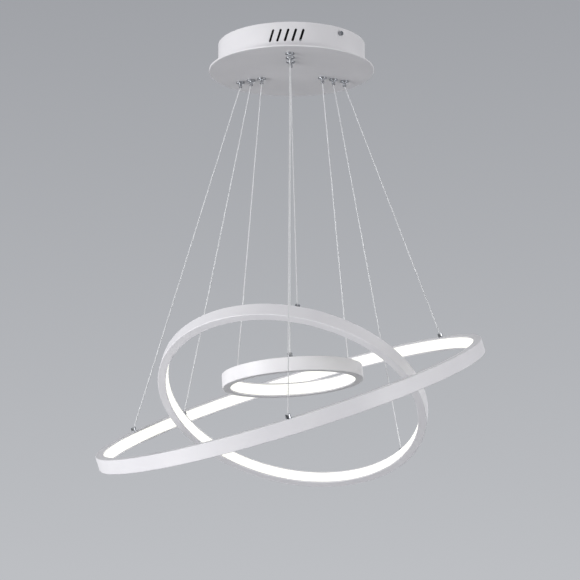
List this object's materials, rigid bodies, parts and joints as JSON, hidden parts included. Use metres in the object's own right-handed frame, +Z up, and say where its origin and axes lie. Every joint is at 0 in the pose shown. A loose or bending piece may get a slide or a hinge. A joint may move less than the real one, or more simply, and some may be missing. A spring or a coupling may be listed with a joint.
{
  "type": "led ring chandelier",
  "caption": "Ceiling light: light rings of falling size, tilted against each other, hung on thin steel wires from a round white canopy.",
  "frame": {"origin": "middle of the canopy's ceiling face", "axes": "+Z up, out of the ceiling face; front is -Y, where the slanted vents and the foremost wires are; +X is right"},
  "size_m": [0.5804, 0.5898, 0.6741],
  "materials": {
    "white_paint": "satin powder coat",
    "white_aluminium": "satin powder coat",
    "opal_plastic": "opal",
    "circuit_board": "white solder mask",
    "plain_aluminium": "mill",
    "chrome": "polished plate",
    "zinc_steel": "zinc plate",
    "wire_steel": "clear-jacketed strand",
    "ball_steel": "bright",
    "case_plastic": "moulded",
    "terminal_plastic": "moulded",
    "lead_cover": "soft plastic"
  },
  "bodies": {
    "root": {"ceiling_bracket": "zinc_steel", "canopy_drum": "white_paint", "canopy_plate": "white_paint", "canopy_side_screws": "chrome", "plate_nuts": "zinc_steel", "driver_base": "case_plastic", "driver_cover": "case_plastic", "driver_board": "circuit_board", "output_terminal_block": "terminal_plastic", "mains_terminal_block": "terminal_plastic", "terminal_screws": "zinc_steel", "driver_leads": "lead_cover", "wire_tails": "wire_steel", "gripper_bodies": "chrome", "gripper_nuts": "chrome", "gripper_balls": "ball_steel", "gripper_springs": "ball_steel"},
    "ring_large": {"profile_large": "white_aluminium", "diffuser_large": "opal_plastic", "led_strip_large": "circuit_board", "splice_plate_large": "plain_aluminium", "splice_screws_large": "white_paint", "fittings_large": "chrome", "fitting_screws_large": "zinc_steel"},
    "wire_large_front": {"wire_large_front": "wire_steel"},
    "wire_large_right": {"wire_large_right": "wire_steel"},
    "wire_large_left": {"wire_large_left": "wire_steel"},
    "plunger_large_front": {"plunger_large_front": "chrome"},
    "plunger_large_right": {"plunger_large_right": "chrome"},
    "plunger_large_left": {"plunger_large_left": "chrome"},
    "ring_medium": {"profile_medium": "white_aluminium", "diffuser_medium": "opal_plastic", "led_strip_medium": "circuit_board", "splice_plate_medium": "plain_aluminium", "splice_screws_medium": "white_paint", "fittings_medium": "chrome", "fitting_screws_medium": "zinc_steel"},
    "wire_medium_front": {"wire_medium_front": "wire_steel"},
    "wire_medium_right": {"wire_medium_right": "wire_steel"},
    "wire_medium_left": {"wire_medium_left": "wire_steel"},
    "plunger_medium_front": {"plunger_medium_front": "chrome"},
    "plunger_medium_right": {"plunger_medium_right": "chrome"},
    "plunger_medium_left": {"plunger_medium_left": "chrome"},
    "ring_small": {"profile_small": "white_aluminium", "diffuser_small": "opal_plastic", "led_strip_small": "circuit_board", "splice_plate_small": "plain_aluminium", "splice_screws_small": "white_paint", "fittings_small": "chrome", "fitting_screws_small": "zinc_steel"},
    "wire_small_front": {"wire_small_front": "wire_steel"},
    "wire_small_right": {"wire_small_right": "wire_steel"},
    "wire_small_left": {"wire_small_left": "wire_steel"},
    "plunger_small_front": {"plunger_small_front": "chrome"},
    "plunger_small_right": {"plunger_small_right": "chrome"},
    "plunger_small_left": {"plunger_small_left": "chrome"}
  },
  "joints": [
    {"name": "large_ring_sway", "type": "hinge", "parent": "root", "child": "ring_large", "pos_m": [-0.00348, -0.00149, 0.173], "axis": [-0.189, 0.982, 0.0026], "range_deg": [-3, 3]},
    {"name": "large_front_wire_turn", "type": "hinge", "parent": "ring_large", "child": "wire_large_front", "pos_m": [0.00189, -0.2927, -0.60522], "axis": [-0.1993, 0.923, -0.3293], "range_deg": [-1.24, 1.24]},
    {"name": "large_right_wire_turn", "type": "hinge", "parent": "ring_large", "child": "wire_large_right", "pos_m": [0.23142, 0.12933, -0.43635], "axis": [-0.2336, 0.9656, 0.1143], "range_deg": [-1.82, 1.82]},
    {"name": "large_left_wire_turn", "type": "hinge", "parent": "ring_large", "child": "wire_large_left", "pos_m": [-0.25609, 0.14576, -0.58256], "axis": [-0.1196, 0.9687, 0.2177], "range_deg": [-1.33, 1.33]},
    {"name": "large_front_plunger_press", "type": "slide", "parent": "root", "child": "plunger_large_front", "axis": [0, 0, 1], "range_m": [0, 0.002], "stiffness_N_per_m": 1000, "springref_m": -0.001},
    {"name": "large_right_plunger_press", "type": "slide", "parent": "root", "child": "plunger_large_right", "axis": [0, 0, 1], "range_m": [0, 0.002], "stiffness_N_per_m": 1000, "springref_m": -0.001},
    {"name": "large_left_plunger_press", "type": "slide", "parent": "root", "child": "plunger_large_left", "axis": [0, 0, 1], "range_m": [0, 0.002], "stiffness_N_per_m": 1000, "springref_m": -0.001},
    {"name": "medium_ring_sway", "type": "hinge", "parent": "root", "child": "ring_medium", "pos_m": [-0.00061, 0.00139, 0.346], "axis": [-0.7073, 0.7053, 0.0472], "range_deg": [-2.5, 2.5]},
    {"name": "medium_front_wire_turn", "type": "hinge", "parent": "ring_medium", "child": "wire_medium_front", "pos_m": [0.01167, -0.16069, -0.43773], "axis": [-0.7183, 0.6744, -0.1707], "range_deg": [-2.6, 2.6]},
    {"name": "medium_right_wire_turn", "type": "hinge", "parent": "ring_medium", "child": "wire_medium_right", "pos_m": [0.16573, 0.08365, -0.62259], "axis": [-0.6923, 0.7188, -0.0639], "range_deg": [-1.82, 1.82]},
    {"name": "medium_left_wire_turn", "type": "hinge", "parent": "ring_medium", "child": "wire_medium_left", "pos_m": [-0.17163, 0.10053, -0.56331], "axis": [-0.6832, 0.694, 0.2272], "range_deg": [-1.99, 1.99]},
    {"name": "medium_front_plunger_press", "type": "slide", "parent": "root", "child": "plunger_medium_front", "axis": [0, 0, 1], "range_m": [0, 0.002], "stiffness_N_per_m": 1000, "springref_m": -0.001},
    {"name": "medium_right_plunger_press", "type": "slide", "parent": "root", "child": "plunger_medium_right", "axis": [0, 0, 1], "range_m": [0, 0.002], "stiffness_N_per_m": 1000, "springref_m": -0.001},
    {"name": "medium_left_plunger_press", "type": "slide", "parent": "root", "child": "plunger_medium_left", "axis": [0, 0, 1], "range_m": [0, 0.002], "stiffness_N_per_m": 1000, "springref_m": -0.001},
    {"name": "small_ring_sway", "type": "hinge", "parent": "root", "child": "ring_small", "pos_m": [0.00047, 0.00063, 0.5], "axis": [-0.3994, 0.9062, -0.139], "range_deg": [-1.5, 1.5]},
    {"name": "small_front_wire_turn", "type": "hinge", "parent": "ring_small", "child": "wire_small_front", "pos_m": [-0.00079, -0.09935, -0.49776], "axis": [-0.3999, 0.9122, -0.0896], "range_deg": [-1.94, 1.94]},
    {"name": "small_right_wire_turn", "type": "hinge", "parent": "ring_small", "child": "wire_small_right", "pos_m": [0.08596, 0.0505, -0.50195], "axis": [-0.4169, 0.9089, 0.0109], "range_deg": [-1.91, 1.91]},
    {"name": "small_left_wire_turn", "type": "hinge", "parent": "ring_small", "child": "wire_small_left", "pos_m": [-0.0868, 0.05008, -0.51431], "axis": [-0.39, 0.9176, 0.0775], "range_deg": [-1.83, 1.83]},
    {"name": "small_front_plunger_press", "type": "slide", "parent": "root", "child": "plunger_small_front", "axis": [0, 0, 1], "range_m": [0, 0.002], "stiffness_N_per_m": 1000, "springref_m": -0.001},
    {"name": "small_right_plunger_press", "type": "slide", "parent": "root", "child": "plunger_small_right", "axis": [0, 0, 1], "range_m": [0, 0.002], "stiffness_N_per_m": 1000, "springref_m": -0.001},
    {"name": "small_left_plunger_press", "type": "slide", "parent": "root", "child": "plunger_small_left", "axis": [0, 0, 1], "range_m": [0, 0.002], "stiffness_N_per_m": 1000, "springref_m": -0.001}
  ],
  "couplings": [
    {"joint": "large_front_wire_turn", "follows": "large_ring_sway", "ratio": 0.37874},
    {"joint": "large_right_wire_turn", "follows": "large_ring_sway", "ratio": 0.57295},
    {"joint": "large_left_wire_turn", "follows": "large_ring_sway", "ratio": 0.41017},
    {"joint": "medium_front_wire_turn", "follows": "medium_ring_sway", "ratio": 0.99845},
    {"joint": "medium_right_wire_turn", "follows": "medium_ring_sway", "ratio": 0.68767},
    {"joint": "medium_left_wire_turn", "follows": "medium_ring_sway", "ratio": 0.75634},
    {"joint": "small_front_wire_turn", "follows": "small_ring_sway", "ratio": 1.2272},
    {"joint": "small_right_wire_turn", "follows": "small_ring_sway", "ratio": 1.2035},
    {"joint": "small_left_wire_turn", "follows": "small_ring_sway", "ratio": 1.1566}
  ]
}
